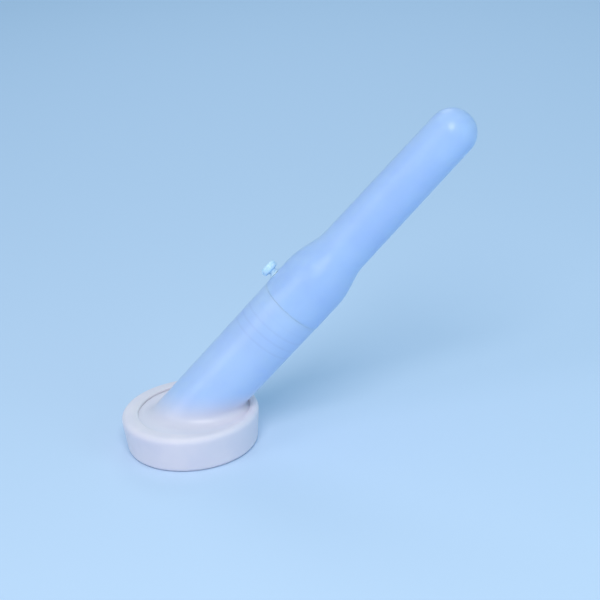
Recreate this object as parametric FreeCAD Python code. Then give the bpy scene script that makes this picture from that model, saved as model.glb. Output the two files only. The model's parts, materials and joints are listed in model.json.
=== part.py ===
import FreeCAD, Part

import math
import os

from FreeCAD import Placement, Rotation, Vector

# Fuel sampler cup, standing on its open mouth. The frame's origin is the centre of the mouth,
# +Z is up out of the mouth's plane, and the collector tube leans over towards +X.
# Lengths are millimetres. "Height" is along Z. "Reach" is along the tube's own axis,
# measured from the elbow point, where that axis crosses the axis of the mouth.

# ---- Tube axis ----
TUBE_LEAN = 45.4            # degrees, from the vertical
ELBOW_HEIGHT = 15.5

# ---- Seal ring ----
RING_OUTER_R = 35.0
RING_FOOT_R = 33.2          # outer radius at the mouth, where the side has drawn in
RING_WIDEST_HEIGHT = 15.6
RING_WAIST_ROUND = 8.0      # where the sloping side turns upright
RING_HEIGHT = 19.2
RING_TOP_ROUND = 2.6
RING_FOOT_ROUND = 2.4
RING_BORE_R = 25.4
LIP_R = 28.6                # inner radius of the lip that stands above the flange
LIP_ROUND = 0.9

# ---- Flange, skirt and neck, one moulding ----
FLANGE_R = 30.4
FLANGE_OFFSET = 2.0         # the flange and the lip are centred this far towards the overhang
FLANGE_THICKNESS = 2.0
FLANGE_HEIGHT = 15.8        # underside
SKIRT_FOOT_HEIGHT = 5.0
SKIRT_INNER_R = 23.6
LEDGE_R = 22.6              # step that the pin carrier seats against
LEDGE_HEIGHT = 12.0
SNAP_BEAD = 0.35
WALL = 1.4
NECK_ROOT_R = 16.3
NECK_END_R = 16.8
SEAM_REACH = 78.7
NECK_STEP_REACH = 49.2      # the bore widens here to take the spigot
ROOT_FILLET_BACK = 10.0     # on the open side of the elbow
ROOT_FILLET_FRONT = 2.0     # under the overhang

# ---- Screw thread ----
LEAD = 5.0
THREAD_TURNS = 3.3
THREAD_START_REACH = 54.0
THREAD_START_ANGLE = 164.0  # degrees about the tube axis
RIDGE_HEIGHT = 0.9
RIDGE_ROOT = 2.0
RIDGE_CREST = 0.9
RIDGE_EMBED = 0.3
RIDGE_SPACING = 1.5         # reach from a ridge of the tube to the neck's ridge that holds it down

# ---- Collector tube ----
COLLECTOR_R = 16.9
SHOULDER_START_REACH = 99.6
SHOULDER_END_REACH = 115.2
SHOULDER_START_ROUND = 40.0
SHOULDER_END_ROUND = 25.0
GRIP_R = 12.75
TIP_R = 12.1
TIP_REACH = 209.0
SPIGOT_FOOT_REACH = 50.0
SPIGOT_CORE_R = 14.1
SPIGOT_INNER_R = 12.8
SPIGOT_CLEARANCE = 0.08
LAND_LENGTH = 0.6           # full-width part of the spigot below the O-ring's groove
LAND_LEAD_IN = 0.6
SEAM_GAP = 0.04
SEAM_ROUND = 0.12

# ---- O-ring ----
GROOVE_REACH = 76.0
GROOVE_WIDTH = 2.0
GROOVE_R = 13.95
O_RING_CLEARANCE = 0.04

# ---- Tether stud ----
STUD_REACH = 84.8
STUD_ANGLE = 160.0          # degrees about the tube axis; 180 is the tube's upper side
STUD_TOP_R = 23.0
STUD_HEAD_R = 4.4
STUD_HEAD_THICKNESS = 3.8
STUD_HEAD_TOP_ROUND = 1.5
STUD_HEAD_FOOT_ROUND = 1.2
STUD_NECK_R = 2.2
STUD_BASE_R = 3.4
STUD_BASE_HEIGHT = 0.9      # above the tube, most of it the fillet round the neck
STUD_FOOT_R = 3.0
STUD_FOOT_TIP_R = 1.8
STUD_FOOT_LENGTH = 2.2
STUD_FOOT_LIP = 0.4

# ---- Pin carrier and drain pin ----
CARRIER_R = 23.55
CARRIER_RIM = 2.0
CARRIER_FOOT_HEIGHT = 9.0
HUB_R = 4.0
HUB_FOOT_HEIGHT = 7.5
HUB_TOP_HEIGHT = 13.5
HUB_ROUND = 1.2
SPOKE_COUNT = 3
SPOKE_WIDTH = 2.4
SPOKE_THICKNESS = 2.2
PIN_R = 1.5
PIN_TIP_HEIGHT = 2.5
PIN_COLLAR_R = 2.7
PIN_COLLAR_THICKNESS = 0.9
PIN_TAIL_HEIGHT = 14.0

# ---- Worked out from the dimensions above ----
Z_AXIS = Vector(0, 0, 1)
CENTRE = Vector(0, 0, 0)
BIG = 400.0
TOLERANCE = 1e-3
SMALL_ROUND = 0.4
TINY_ROUND = 0.2
ROUND_END_FLAT = 0.1        # radius of the flat left at the middle of a round end
FLANGE_TOP = FLANGE_HEIGHT + FLANGE_THICKNESS
TO_FLANGE = Vector(FLANGE_OFFSET, 0, 0)
NECK_BORE_R = NECK_END_R - WALL
PASSAGE_R = NECK_ROOT_R - WALL
TUBE_PLACEMENT = Placement(Vector(0, 0, ELBOW_HEIGHT), Rotation(Vector(0, 1, 0), TUBE_LEAN))


def point(radius, height):
    return Vector(radius, 0, height)


def outline(corners):
    """Closed wire in the XZ plane. A corner is (radius, height), or (radius, height, rounding)."""
    spots = [point(corner[0], corner[1]) for corner in corners]
    edges = []
    joins = []
    for i, corner in enumerate(corners):
        rounding = corner[2] if len(corner) > 2 else 0.0
        before = (spots[i] - spots[i - 1]).normalize()
        after = (spots[(i + 1) % len(spots)] - spots[i]).normalize()
        if rounding == 0.0:
            joins.append((spots[i], None, spots[i]))
            continue
        half_turn = before.getAngle(after) / 2
        setback = rounding * math.tan(half_turn)
        inward = (after - before).normalize()
        bulge = rounding / math.cos(half_turn) - rounding
        joins.append((
            spots[i] - before * setback,
            spots[i] + inward * bulge,
            spots[i] + after * setback,
        ))
    for i, (start, middle, end) in enumerate(joins):
        last_end = joins[i - 1][2]
        if last_end.distanceToPoint(start) > TOLERANCE / 10:
            if (start - last_end).dot(spots[i] - spots[i - 1]) < 0:
                raise ValueError(f"the roundings of corners {i - 1} and {i} overlap")
            edges.append(Part.LineSegment(last_end, start).toShape())
        if middle is not None:
            edges.append(Part.Arc(start, middle, end).toShape())
    return Part.Wire(Part.__sortEdges__(edges))


def turned(corners):
    """Solid of revolution about Z."""
    return Part.Face(outline(corners)).revolve(CENTRE, Z_AXIS, 360)


def on_tube(shape):
    """Moves a shape drawn about Z, with reach as its height, on to the tube's axis."""
    placed = shape.copy()
    placed.Placement = TUBE_PLACEMENT.multiply(placed.Placement)
    return placed


def cylinder(radius, low, high):
    return Part.makeCylinder(radius, high - low, point(0, low))


def above(height):
    """Everything above a height."""
    return Part.makeBox(2 * BIG, 2 * BIG, BIG, Vector(-BIG, -BIG, height))


def ridge(root_r, crest_r, start_angle):
    """One right-hand screw ridge of trapezoid section, sunk a little into the wall it stands on."""
    out = 1 if crest_r > root_r else -1
    sunk_r = root_r - out * RIDGE_EMBED
    half_root = RIDGE_ROOT / 2
    half_crest = RIDGE_CREST / 2
    section = Part.makePolygon([
        point(sunk_r, -half_root), point(root_r, -half_root), point(crest_r, -half_crest),
        point(crest_r, half_crest), point(root_r, half_root), point(sunk_r, half_root),
        point(sunk_r, -half_root),
    ])
    path = Part.Wire(Part.makeHelix(LEAD, LEAD * THREAD_TURNS, root_r).Edges)
    solid = path.makePipeShell([section], True, True)
    solid.rotate(CENTRE, Z_AXIS, start_angle)
    solid.translate(point(0, THREAD_START_REACH))
    return solid


def make_seal_ring():
    """Solid soft ring: the flange's edge sits in a groove under the lip of its bore."""
    ring = turned([
        (RING_BORE_R, 0, LIP_ROUND),
        (RING_FOOT_R, 0, RING_FOOT_ROUND),
        (RING_OUTER_R, RING_WIDEST_HEIGHT, RING_WAIST_ROUND),
        (RING_OUTER_R, RING_HEIGHT, RING_TOP_ROUND),
        (RING_BORE_R, RING_HEIGHT),
    ])
    opening = cylinder(LIP_R, FLANGE_HEIGHT, RING_HEIGHT + 1)
    groove = cylinder(FLANGE_R, FLANGE_HEIGHT, FLANGE_TOP)
    ring = ring.cut(opening.fuse(groove).translated(TO_FLANGE)).removeSplitter()
    lip_edges = [edge for edge in ring.Edges if is_lip(edge)]
    return ring.makeFillet(LIP_ROUND, lip_edges)


def is_lip(edge):
    """True for the circle where the ring's upper face meets the opening over the flange."""
    box = edge.BoundBox
    level = box.ZMin > RING_HEIGHT - TOLERANCE
    return level and abs(box.XLength - 2 * LIP_R) < 0.1


def neck_half():
    """Outside of the flange and neck on the +Y side, with a root fillet that grows to the back."""
    flange = cylinder(FLANGE_R, FLANGE_HEIGHT, FLANGE_TOP).translated(TO_FLANGE)
    neck = on_tube(turned([
        (0, -2 * NECK_ROOT_R),
        (NECK_ROOT_R, -2 * NECK_ROOT_R),
        (NECK_END_R, SEAM_REACH - SEAM_GAP, SEAM_ROUND),
        (0, SEAM_REACH - SEAM_GAP),
    ]))
    whole = flange.fuse(neck.common(above(FLANGE_HEIGHT))).removeSplitter()
    half = whole.common(Part.makeBox(2 * BIG, BIG, 2 * BIG, Vector(-BIG, 0, -BIG)))
    roots = [edge for edge in half.Edges if is_root(edge)]
    return half.makeFillet(ROOT_FILLET_FRONT, ROOT_FILLET_BACK, roots)


def is_root(edge):
    """True for the curve where the neck leaves the flange's upper face."""
    box = edge.BoundBox
    level = abs(box.ZMin - FLANGE_TOP) < TOLERANCE and abs(box.ZMax - FLANGE_TOP) < TOLERANCE
    return level and 2 * NECK_ROOT_R < box.XLength < 2 * FLANGE_R - 1 and box.YLength > NECK_ROOT_R - 1


def make_mouth_body():
    """Flange, skirt and slanted neck, with the neck's screw thread inside its upper end."""
    half = neck_half()
    body = half.fuse(half.mirror(CENTRE, Vector(0, 1, 0))).removeSplitter()
    skirt = turned([
        (LEDGE_R, LEDGE_HEIGHT),
        (SKIRT_INNER_R, LEDGE_HEIGHT),
        (SKIRT_INNER_R, CARRIER_FOOT_HEIGHT),
        (SKIRT_INNER_R - SNAP_BEAD, CARRIER_FOOT_HEIGHT - SNAP_BEAD),
        (SKIRT_INNER_R, CARRIER_FOOT_HEIGHT - 2 * SNAP_BEAD),
        (SKIRT_INNER_R, SKIRT_FOOT_HEIGHT),
        (RING_BORE_R, SKIRT_FOOT_HEIGHT, SMALL_ROUND),
        (RING_BORE_R, FLANGE_TOP - FLANGE_THICKNESS / 2),
        (LEDGE_R, FLANGE_TOP - FLANGE_THICKNESS / 2),
    ])
    body = body.fuse(skirt)
    body = body.cut(cylinder(LEDGE_R, SKIRT_FOOT_HEIGHT, FLANGE_HEIGHT))
    passage = on_tube(cylinder(PASSAGE_R, -2 * PASSAGE_R, NECK_STEP_REACH))
    body = body.cut(passage.common(above(FLANGE_HEIGHT - TOLERANCE)))
    body = body.cut(on_tube(cylinder(NECK_BORE_R, NECK_STEP_REACH, SEAM_REACH + 1)))
    lag = 360 * RIDGE_SPACING / LEAD
    thread = ridge(NECK_BORE_R, NECK_BORE_R - RIDGE_HEIGHT, THREAD_START_ANGLE - lag)
    return body.fuse([on_tube(thread)], TOLERANCE)


def make_collector_tube():
    """Closed tube: threaded spigot, wide part, shoulder, slim grip and round end, one moulding."""
    land_r = NECK_BORE_R - SPIGOT_CLEARANCE
    groove_foot = GROOVE_REACH - GROOVE_WIDTH / 2
    groove_top = GROOVE_REACH + GROOVE_WIDTH / 2
    flare_reach = SEAM_REACH + COLLECTOR_R - WALL - SPIGOT_INNER_R
    shell = turned([
        (SPIGOT_INNER_R, SPIGOT_FOOT_REACH),
        (SPIGOT_CORE_R, SPIGOT_FOOT_REACH, SMALL_ROUND),
        (SPIGOT_CORE_R, groove_foot - LAND_LENGTH - LAND_LEAD_IN),
        (land_r, groove_foot - LAND_LENGTH),
        (land_r, groove_foot),
        (GROOVE_R, groove_foot),
        (GROOVE_R, groove_top),
        (land_r, groove_top),
        (land_r, SEAM_REACH),
        (COLLECTOR_R, SEAM_REACH, SEAM_ROUND),
        (COLLECTOR_R, SHOULDER_START_REACH, SHOULDER_START_ROUND),
        (GRIP_R, SHOULDER_END_REACH, SHOULDER_END_ROUND),
        (TIP_R, TIP_REACH, TIP_R - ROUND_END_FLAT),
        (0, TIP_REACH),
        (0, TIP_REACH - WALL),
        (TIP_R - WALL, TIP_REACH - WALL, TIP_R - WALL - ROUND_END_FLAT),
        (GRIP_R - WALL, SHOULDER_END_REACH, SHOULDER_END_ROUND),
        (COLLECTOR_R - WALL, SHOULDER_START_REACH, SHOULDER_START_ROUND),
        (COLLECTOR_R - WALL, flare_reach),
        (SPIGOT_INNER_R, SEAM_REACH),
    ])
    thread = ridge(SPIGOT_CORE_R, SPIGOT_CORE_R + RIDGE_HEIGHT, THREAD_START_ANGLE)
    hole = across_tube(cylinder(STUD_NECK_R, COLLECTOR_R - 2 * WALL, COLLECTOR_R + WALL))
    return on_tube(shell.fuse([thread], TOLERANCE).cut(hole))


def across_tube(shape):
    """Turns a shape drawn about Z so that it stands out of the tube's wall where the stud is."""
    placed = shape.copy()
    placed.rotate(CENTRE, Vector(0, 1, 0), 90)
    placed.rotate(CENTRE, Z_AXIS, STUD_ANGLE)
    placed.translate(point(0, STUD_REACH))
    return placed


def make_joint_o_ring():
    """Round cord ring, drawn as squeezed between the groove and the neck's bore."""
    outer_r = NECK_BORE_R - O_RING_CLEARANCE
    cord_r = (outer_r - GROOVE_R - O_RING_CLEARANCE) / 2
    return on_tube(Part.makeTorus(outer_r - cord_r, cord_r, point(0, GROOVE_REACH)))


def make_tether_stud():
    """Mushroom stud whose stem passes through the tube wall and ends in a barbed foot."""
    inner_r = COLLECTOR_R - WALL
    head_foot = STUD_TOP_R - STUD_HEAD_THICKNESS
    outside = turned([
        (0, inner_r),
        (STUD_BASE_R, inner_r),
        (STUD_BASE_R, COLLECTOR_R + TINY_ROUND),
        (STUD_NECK_R, COLLECTOR_R + STUD_BASE_HEIGHT, STUD_BASE_HEIGHT),
        (STUD_NECK_R, head_foot, SMALL_ROUND),
        (STUD_HEAD_R, head_foot, STUD_HEAD_FOOT_ROUND),
        (STUD_HEAD_R, STUD_TOP_R, STUD_HEAD_TOP_ROUND),
        (0, STUD_TOP_R),
    ])
    foot = turned([
        (0, inner_r - STUD_FOOT_LENGTH),
        (STUD_FOOT_TIP_R, inner_r - STUD_FOOT_LENGTH),
        (STUD_FOOT_R, inner_r - STUD_FOOT_LIP),
        (STUD_FOOT_R, inner_r + STUD_FOOT_LIP),
        (0, inner_r + STUD_FOOT_LIP),
    ])
    seat = cylinder(COLLECTOR_R, STUD_REACH - 2 * STUD_BASE_R, STUD_REACH + 2 * STUD_BASE_R)
    inside = cylinder(inner_r, STUD_REACH - 2 * STUD_BASE_R, STUD_REACH + 2 * STUD_BASE_R)
    stem = cylinder(STUD_NECK_R, inner_r - 1, COLLECTOR_R + 1)
    stud = across_tube(outside).cut(seat).fuse(across_tube(foot).common(inside))
    return on_tube(stud.fuse(across_tube(stem)).removeSplitter())


def make_pin_carrier():
    """Spoked insert: rim, spokes and a hub that grips the pin."""
    rim = turned([
        (CARRIER_R - CARRIER_RIM, CARRIER_FOOT_HEIGHT),
        (CARRIER_R, CARRIER_FOOT_HEIGHT, SMALL_ROUND),
        (CARRIER_R, LEDGE_HEIGHT),
        (CARRIER_R - CARRIER_RIM, LEDGE_HEIGHT, SMALL_ROUND),
    ])
    hub = turned([
        (0, HUB_FOOT_HEIGHT),
        (HUB_R, HUB_FOOT_HEIGHT),
        (HUB_R, HUB_TOP_HEIGHT, HUB_ROUND),
        (0, HUB_TOP_HEIGHT),
    ])
    carrier = rim.fuse(hub)
    spoke_foot = (CARRIER_FOOT_HEIGHT + LEDGE_HEIGHT - SPOKE_THICKNESS) / 2
    for i in range(SPOKE_COUNT):
        spoke = Part.makeBox(
            CARRIER_R - CARRIER_RIM / 2, SPOKE_WIDTH, SPOKE_THICKNESS,
            Vector(0, -SPOKE_WIDTH / 2, spoke_foot))
        spoke.rotate(CENTRE, Z_AXIS, 360 * (i + 0.5) / SPOKE_COUNT)
        carrier = carrier.fuse(spoke)
    return carrier.cut(cylinder(PIN_R, 0, HUB_TOP_HEIGHT + 1)).removeSplitter()


def make_drain_pin():
    """Metal pin with a round tip, and a collar that takes the push against the hub's foot."""
    return turned([
        (0, PIN_TIP_HEIGHT),
        (PIN_R, PIN_TIP_HEIGHT, PIN_R - ROUND_END_FLAT),
        (PIN_R, HUB_FOOT_HEIGHT - PIN_COLLAR_THICKNESS),
        (PIN_COLLAR_R, HUB_FOOT_HEIGHT - PIN_COLLAR_THICKNESS, TINY_ROUND),
        (PIN_COLLAR_R, HUB_FOOT_HEIGHT),
        (PIN_R, HUB_FOOT_HEIGHT),
        (PIN_R, PIN_TAIL_HEIGHT, TINY_ROUND),
        (0, PIN_TAIL_HEIGHT),
    ])


PIECES = {
    "seal_ring": make_seal_ring,
    "mouth_body": make_mouth_body,
    "collector_tube": make_collector_tube,
    "joint_o_ring": make_joint_o_ring,
    "tether_stud": make_tether_stud,
    "pin_carrier": make_pin_carrier,
    "drain_pin": make_drain_pin,
}

os.makedirs("parts", exist_ok=True)
for name, make in PIECES.items():
    shape = make()
    shape.exportStep(f"parts/{name}.step")
    print(f"{name}: {len(shape.Solids)} solid, valid {shape.isValid()}, {shape.Volume / 1000:.2f} cm3")
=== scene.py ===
import json
import math

import bpy
from mathutils import Matrix, Vector

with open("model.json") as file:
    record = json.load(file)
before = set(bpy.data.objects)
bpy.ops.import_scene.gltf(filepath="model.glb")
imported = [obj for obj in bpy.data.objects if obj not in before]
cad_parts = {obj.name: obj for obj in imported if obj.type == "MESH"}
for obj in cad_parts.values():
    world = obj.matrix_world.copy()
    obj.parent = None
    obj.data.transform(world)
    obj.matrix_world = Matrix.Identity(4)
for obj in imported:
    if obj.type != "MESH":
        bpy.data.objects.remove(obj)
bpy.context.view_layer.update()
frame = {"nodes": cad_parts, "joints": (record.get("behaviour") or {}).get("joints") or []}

# ---- Tube axis, from the record's joint ----
MM = 0.001
JOINT = next(joint for joint in frame["joints"] if joint["name"] == "tube_unscrew")
TUBE_AXIS = Vector(JOINT["axis"]).normalized()
TUBE_LEAN = math.acos(TUBE_AXIS.z)
ELBOW = Vector((0.0, 0.0, 15.5 * MM))

# ---- Screw ridges inside the neck, shown on the neck's outside only as painted shadow bands: millimetres of reach along the tube axis ----
THREAD_LEAD = 5.0
THREAD_START = 55.5
THREAD_FADE = THREAD_START + 2 * THREAD_LEAD
THREAD_END = 72.0
THREAD_TURN = 164.0 / 360.0     # where on the turn the ridge starts
BAND_CORE = 0.03                # half widths of a band, as a share of the lead
BAND_EDGE = 0.20
BAND_LAST = 0.25                # strength of the last band
# Painted shadow of the ridges: how much darkened colour is mixed in, and how dark it is
RIDGE_SHADOW_SHARE = 0.22
BAND_SHADE = 0.80

# ---- Painted light on the neck: paler foot next to the white ring, in millimetres above the ring's face ----
PAINTED_LIGHT_UP_TO = 17.0
PAINTED_LIGHT_GONE_AT = 34.0

# ---- Colours, as 8-bit display values ----
NECK_TINT = (189, 209, 247)
NECK_DEEP = (183, 203, 244)
# Colour of the painted light at the neck's foot
NECK_PAINTED_LIGHT = (228, 220, 231)
TUBE_TINT = (182, 205, 246)
TUBE_DEEP = (176, 199, 243)
STUD_TINT = (205, 228, 253)
STUD_DEEP = (197, 222, 252)
RING_WHITE = (236, 224, 232)
RING_GREY = (229, 219, 230)
O_RING_BLACK = (60, 62, 66)
CARRIER_WHITE = (226, 230, 236)
BRASS_LIGHT = (214, 178, 106)
BRASS_DARK = (192, 152, 84)
FLOOR_BLUE = (205, 222, 246)

# ---- Camera ----
CAMERA_AIM = Vector((60.4, 0.0, 73.3)) * MM
CAMERA_DISTANCE = 0.9
CAMERA_ELEVATION = math.radians(23.7)
CAMERA_AZIMUTH = math.radians(-2.2)
CAMERA_ROLL = math.radians(4.5)
CAMERA_LENS = 108.0
SENSOR = 36.0

# ---- Floor, world and lights ----
FLOOR_HALF = 3.0
WORLD_COLOUR = (0.49, 0.79, 0.98, 1.0)
WORLD_STRENGTH = 0.60
LIGHTS_AIM = (0.05, 0.0, 0.07)


def srgb(red, green, blue):
    """Linear colour, with full alpha, of an 8-bit display colour."""
    def linear(value):
        value /= 255
        return value / 12.92 if value <= 0.04045 else ((value + 0.055) / 1.055) ** 2.4
    return (linear(red), linear(green), linear(blue), 1.0)


def darker(colour, share):
    return tuple(share * part for part in colour[:3]) + (1.0,)


def make_camera():
    azimuth, elevation, roll = CAMERA_AZIMUTH, CAMERA_ELEVATION, CAMERA_ROLL
    back = Vector((
        math.sin(azimuth) * math.cos(elevation),
        -math.cos(azimuth) * math.cos(elevation),
        math.sin(elevation),
    ))
    level_right = Vector((math.cos(azimuth), math.sin(azimuth), 0.0))
    level_up = back.cross(level_right)
    right = level_right * math.cos(roll) - level_up * math.sin(roll)
    up = level_right * math.sin(roll) + level_up * math.cos(roll)
    data = bpy.data.cameras.new("camera")
    data.lens = CAMERA_LENS
    data.sensor_width = SENSOR
    camera = bpy.data.objects.new("camera", data)
    bpy.context.scene.collection.objects.link(camera)
    place = Matrix((right, up, back)).transposed().to_4x4()
    place.translation = CAMERA_AIM + back * CAMERA_DISTANCE
    camera.matrix_world = place
    bpy.context.scene.camera = camera


def make_light(name, spot, size, power, colour=(1.0, 1.0, 1.0)):
    """Round area light, size metres across and power watts, turned towards the object."""
    data = bpy.data.lights.new(name, "AREA")
    data.shape = "DISK"
    data.size = size
    data.energy = power
    data.color = colour
    light = bpy.data.objects.new(name, data)
    bpy.context.scene.collection.objects.link(light)
    light.location = spot
    look = Vector(LIGHTS_AIM) - Vector(spot)
    light.rotation_euler = look.to_track_quat("-Z", "Y").to_euler()


class Tree:
    """Small helper that adds and links shader nodes."""

    def __init__(self, name):
        self.material = bpy.data.materials.new(name)
        self.material.use_nodes = True
        self.nodes = self.material.node_tree.nodes
        self.links = self.material.node_tree.links
        self.shader = self.nodes["Principled BSDF"]

    def add(self, kind, **settings):
        node = self.nodes.new(kind)
        for key, value in settings.items():
            setattr(node, key, value)
        return node

    def put(self, socket, value):
        """Links the socket to another socket, or sets it to a value."""
        if isinstance(value, bpy.types.NodeSocket):
            self.links.new(value, socket)
        else:
            socket.default_value = value

    def set(self, **values):
        """Sets or links sockets of the Principled shader; underscores stand for spaces."""
        for key, value in values.items():
            self.put(self.shader.inputs[key.replace("_", " ")], value)

    def scatter(self, weight, scale):
        """The same soft scatter in all three colours."""
        self.set(
            Subsurface_Weight=weight, Subsurface_Scale=scale, Subsurface_Radius=(1.0, 1.0, 1.0),
        )

    def math(self, operation, first, second=0.0):
        node = self.add("ShaderNodeMath", operation=operation)
        self.put(node.inputs[0], first)
        self.put(node.inputs[1], second)
        return node.outputs[0]

    def ramp(self, value, low, high, to_low=0.0, to_high=1.0):
        """Smooth step that goes from to_low at low to to_high at high."""
        node = self.add("ShaderNodeMapRange", interpolation_type="SMOOTHSTEP")
        for socket, part in zip(node.inputs[:5], (value, low, high, to_low, to_high)):
            self.put(socket, part)
        return node.outputs[0]

    def mix(self, factor, first, second):
        node = self.add("ShaderNodeMix", data_type="RGBA")
        self.put(node.inputs[0], factor)
        self.put(node.inputs[6], first)
        self.put(node.inputs[7], second)
        return node.outputs[2]

    def split(self, vector):
        node = self.add("ShaderNodeSeparateXYZ")
        self.put(node.inputs[0], vector)
        return node.outputs

    def place(self, origin=(0, 0, 0), lean=0.0):
        """Object coordinates in millimetres, turned so that Z runs along the leaning tube."""
        coords = self.add("ShaderNodeTexCoord").outputs["Object"]
        moved = self.add("ShaderNodeVectorMath", operation="SUBTRACT")
        self.put(moved.inputs[0], coords)
        self.put(moved.inputs[1], origin)
        turn = self.add("ShaderNodeVectorRotate", rotation_type="Y_AXIS")
        self.put(turn.inputs["Vector"], moved.outputs[0])
        self.put(turn.inputs["Angle"], -lean)
        scale = self.add("ShaderNodeVectorMath", operation="SCALE")
        self.put(scale.inputs[0], turn.outputs[0])
        scale.inputs["Scale"].default_value = 1 / MM
        return scale.outputs[0]

    def noise(self, vector, scale, detail=2.0):
        node = self.add("ShaderNodeTexNoise")
        self.put(node.inputs["Vector"], vector)
        node.inputs["Scale"].default_value = scale
        node.inputs["Detail"].default_value = detail
        return node.outputs["Fac"]

    def bump(self, height, strength, distance, after=None):
        """Relief of distance metres, on top of the normal given by after."""
        node = self.add("ShaderNodeBump")
        node.inputs["Strength"].default_value = strength
        node.inputs["Distance"].default_value = distance
        self.put(node.inputs["Height"], height)
        if after is not None:
            self.put(node.inputs["Normal"], after)
        return node.outputs[0]


def cloudy(tree, spot, tint, deep):
    """Colour that drifts slowly between two close tints, as in a thick moulding."""
    cloud = tree.noise(spot, 0.035, 3.0)
    return tree.mix(tree.ramp(cloud, 0.35, 0.65), tint, deep)


def satin_skin(tree, spot):
    """Fine flow grain and a soft satin gloss; gives the grained normal."""
    grain = tree.noise(spot, 1.6, 3.0)
    tree.set(
        Roughness=tree.ramp(grain, 0.3, 0.7, 0.30, 0.40), IOR=1.51, Specular_IOR_Level=0.5,
    )
    tree.scatter(1.0, 0.0015)
    return tree.bump(grain, 0.25, 0.02 * MM)


def milky_plastic(name, tint, deep):
    """Translucent moulded polyethylene."""
    tree = Tree(name)
    spot = tree.place(ELBOW, TUBE_LEAN)
    tree.set(Base_Color=cloudy(tree, spot, srgb(*tint), srgb(*deep)))
    tree.set(Normal=satin_skin(tree, spot))
    return tree.material


def ridge_shadow_bands(tree, spot):
    """Mask of the painted ridge shadow: 1 along the middle of the screw ridge inside the neck, 0
    away from it and past its ends.
    """
    parts = tree.split(spot)
    reach = parts["Z"]
    turn = tree.math("ARCTAN2", parts["Y"], parts["X"])
    climb = tree.math("DIVIDE", tree.math("SUBTRACT", reach, THREAD_START), THREAD_LEAD)
    phase = tree.math("SUBTRACT", climb, tree.math("DIVIDE", turn, 2 * math.pi))
    away = tree.math("PINGPONG", tree.math("ADD", phase, THREAD_TURN), 0.5)
    band = tree.ramp(away, BAND_CORE, BAND_EDGE, 1.0, 0.0)
    start = tree.ramp(reach, THREAD_START - 0.6, THREAD_START + 0.6)
    fade = tree.ramp(reach, THREAD_FADE, THREAD_END + 0.6, 1.0, BAND_LAST)
    end = tree.ramp(reach, THREAD_END, THREAD_END + 1.0, 1.0, 0.0)
    window = tree.math("MULTIPLY", tree.math("MULTIPLY", start, fade), end)
    return tree.math("MULTIPLY", band, window)


def neck_plastic(name, tint, deep, painted_light):
    """The same plastic, with painted light making it paler at the flange, and painted shadow
    bands where the ridges inside show through the wall.
    """
    tree = Tree(name)
    spot = tree.place(ELBOW, TUBE_LEAN)
    band = ridge_shadow_bands(tree, spot)
    height = tree.split(tree.place())["Z"]
    blue = cloudy(tree, spot, srgb(*tint), srgb(*deep))
    # Painted light: the neck's colour turns paler towards the white ring at its foot
    colour = tree.mix(tree.ramp(height, PAINTED_LIGHT_UP_TO, PAINTED_LIGHT_GONE_AT), srgb(*painted_light), blue)
    shade = darker(srgb(*deep), BAND_SHADE)
    # Painted shadow: the neck's colour darkened in bands along the ridges inside the wall
    tree.set(Base_Color=tree.mix(tree.math("MULTIPLY", band, RIDGE_SHADOW_SHARE), colour, shade))
    tree.set(Normal=tree.bump(band, 0.3, 0.04 * MM, satin_skin(tree, spot)))
    return tree.material


def ring_rubber():
    """Soft white rubber, close to matt."""
    tree = Tree("ring_rubber")
    spot = tree.place()
    cloud = tree.noise(spot, 0.05, 3.0)
    grain = tree.noise(spot, 2.5, 4.0)
    tree.set(
        Base_Color=tree.mix(tree.ramp(cloud, 0.3, 0.7), srgb(*RING_WHITE), srgb(*RING_GREY)),
        Roughness=tree.ramp(grain, 0.3, 0.7, 0.5, 0.62),
        Normal=tree.bump(grain, 0.3, 0.03 * MM),
        Specular_IOR_Level=0.35,
    )
    tree.scatter(0.6, 0.003)
    return tree.material


def plain_plastic(name, colour, roughness):
    """Opaque moulded part with a fine grain."""
    tree = Tree(name)
    grain = tree.noise(tree.place(), 2.0, 3.0)
    tree.set(
        Base_Color=tree.mix(grain, srgb(*colour), darker(srgb(*colour), 0.92)),
        Roughness=tree.ramp(grain, 0.3, 0.7, roughness - 0.05, roughness + 0.05),
        Normal=tree.bump(grain, 0.2, 0.02 * MM),
    )
    return tree.material


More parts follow.
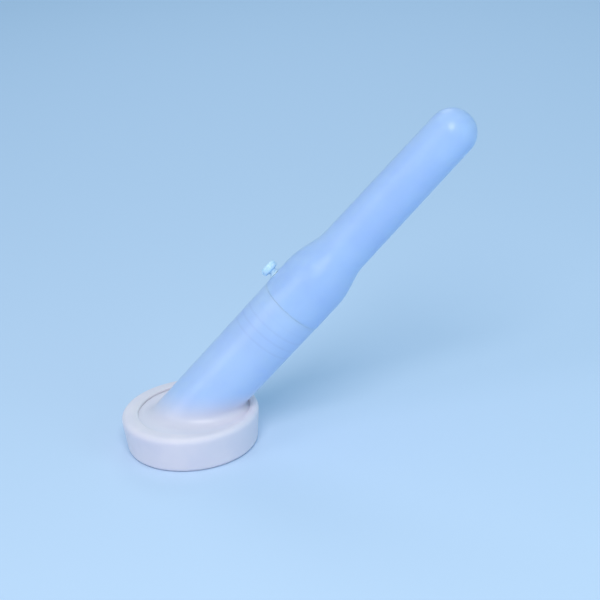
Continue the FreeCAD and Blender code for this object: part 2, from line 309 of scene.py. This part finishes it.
def turned_brass():
    """Brass with the fine rings a lathe leaves."""
    tree = Tree("turned_brass")
    spot = tree.place()
    rings = tree.math("SINE", tree.math("MULTIPLY", tree.split(spot)["Z"], 40.0))
    tree.set(
        Base_Color=tree.mix(tree.noise(spot, 0.8), srgb(*BRASS_LIGHT), srgb(*BRASS_DARK)),
        Roughness=tree.ramp(rings, -1, 1, 0.22, 0.32),
        Metallic=1.0,
        Normal=tree.bump(rings, 0.2, 0.01 * MM),
    )
    return tree.material


def dress(node, material):
    """Gives every slot of a CAD node's object the material."""
    piece = frame["nodes"][node]
    mesh = piece.data
    if not mesh.materials:
        mesh.materials.append(material)
    for slot in piece.material_slots:
        slot.material = material


dress("collector_tube", milky_plastic("tube_plastic", TUBE_TINT, TUBE_DEEP))
dress("tether_stud", milky_plastic("stud_plastic", STUD_TINT, STUD_DEEP))
dress("mouth_body", neck_plastic("body_plastic", NECK_TINT, NECK_DEEP, NECK_PAINTED_LIGHT))
dress("seal_ring", ring_rubber())
dress("joint_o_ring", plain_plastic("o_ring_rubber", O_RING_BLACK, 0.5))
dress("pin_carrier", plain_plastic("carrier_plastic", CARRIER_WHITE, 0.4))
dress("drain_pin", turned_brass())

bpy.ops.mesh.primitive_plane_add(size=2 * FLOOR_HALF)
floor = bpy.context.object
floor.name = "floor"
floor_tree = Tree("floor_paper")
floor_tree.set(Base_Color=srgb(*FLOOR_BLUE), Roughness=0.9, Specular_IOR_Level=0.1)
floor.data.materials.append(floor_tree.material)

world = bpy.data.worlds.new("world")
world.use_nodes = True
background = world.node_tree.nodes["Background"]
background.inputs["Color"].default_value = WORLD_COLOUR
background.inputs["Strength"].default_value = WORLD_STRENGTH
bpy.context.scene.world = world

make_light("key", (0.0, -0.77, 0.98), 0.6, 6.8, (1.0, 0.95, 0.87))
make_light("streak", (-1.25, -0.64, 0.76), 0.7, 3.2, (1.0, 0.91, 0.90))
make_light("fill", (0.9, -0.7, 0.5), 0.6, 1.4, (0.65, 1.0, 1.0))
make_light("back", (0.1, 0.9, 0.8), 0.5, 1.2)
make_camera()
bpy.context.scene.view_settings.view_transform = "Standard"
